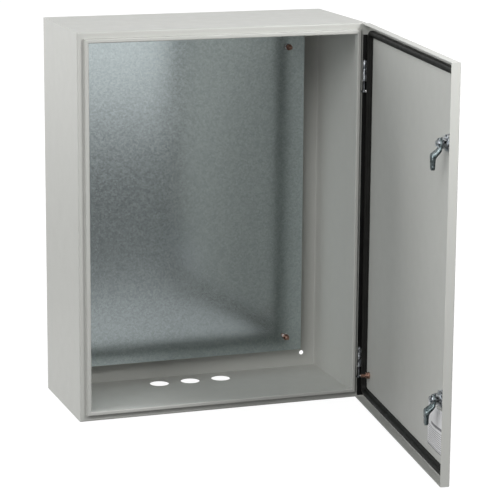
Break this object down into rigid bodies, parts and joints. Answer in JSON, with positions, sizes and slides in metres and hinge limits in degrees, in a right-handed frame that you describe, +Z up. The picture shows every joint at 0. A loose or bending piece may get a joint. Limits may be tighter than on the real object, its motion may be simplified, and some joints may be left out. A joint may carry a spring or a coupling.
{
  "type": "steel wall enclosure",
  "caption": "Sheet-steel wall enclosure for electrical gear, with a hinged, gasketed door on cam locks, a mounting plate and round cable entries below.",
  "frame": {"origin": "centre of the four wall-bolt holes, on the back face that meets the wall", "axes": "+Z up, +Y into the wall, +X towards the hinge side of the door; the door stands open towards -Y"},
  "size_m": [0.5062, 0.719, 0.65],
  "materials": {
    "powder_coat": "light grey fine-texture powder coat",
    "galvanised": "galvanised sheet with spangle",
    "zinc_plate": "zinc plated",
    "copper_plate": "copper plated",
    "black_rubber": "foamed seal, soft sheen"
  },
  "bodies": {
    "body": {"body_wrap": "powder_coat", "top_cap": "powder_coat", "bottom_cap": "powder_coat", "mounting_plate": "galvanised", "plate_studs": "copper_plate", "plate_spacers": "zinc_plate", "plate_washers": "zinc_plate", "plate_nuts": "zinc_plate", "hinge_tab_upper": "zinc_plate", "hinge_tab_lower": "zinc_plate", "hinge_pin_upper": "zinc_plate", "hinge_pin_lower": "zinc_plate", "hinge_ring_upper": "zinc_plate", "hinge_ring_lower": "zinc_plate"},
    "door": {"door_panel": "powder_coat", "door_gasket": "black_rubber", "hinge_side_strip": "black_rubber", "hinge_barrel_upper": "zinc_plate", "hinge_barrel_lower": "zinc_plate", "door_earth_stud": "copper_plate", "door_earth_washer": "copper_plate", "door_earth_nut": "zinc_plate", "lock_housing_upper": "zinc_plate", "lock_housing_lower": "zinc_plate", "lock_seal_upper": "black_rubber", "lock_seal_lower": "black_rubber", "lock_washer_upper": "zinc_plate", "lock_washer_lower": "zinc_plate", "lock_nut_upper": "zinc_plate", "lock_nut_lower": "zinc_plate"},
    "lock_upper": {"lock_core_upper": "zinc_plate", "lock_cam_upper": "zinc_plate", "cam_washer_upper": "zinc_plate", "cam_screw_upper": "zinc_plate"},
    "lock_lower": {"lock_core_lower": "zinc_plate", "lock_cam_lower": "zinc_plate", "cam_washer_lower": "zinc_plate", "cam_screw_lower": "zinc_plate"}
  },
  "joints": [
    {"name": "door_hinge", "type": "hinge", "parent": "body", "child": "door", "pos_m": [0.2454, -0.2268, 0], "axis": [0, 0, 1], "range_deg": [-83, 37]},
    {"name": "lock_upper_turn", "type": "hinge", "parent": "door", "child": "lock_upper", "pos_m": [0.19986, -0.67398, 0.198], "axis": [-0.9925, 0.1219, 0], "range_deg": [0, 90]},
    {"name": "lock_lower_turn", "type": "hinge", "parent": "door", "child": "lock_lower", "pos_m": [0.19986, -0.67398, -0.198], "axis": [-0.9925, 0.1219, 0], "range_deg": [0, 90]}
  ]
}
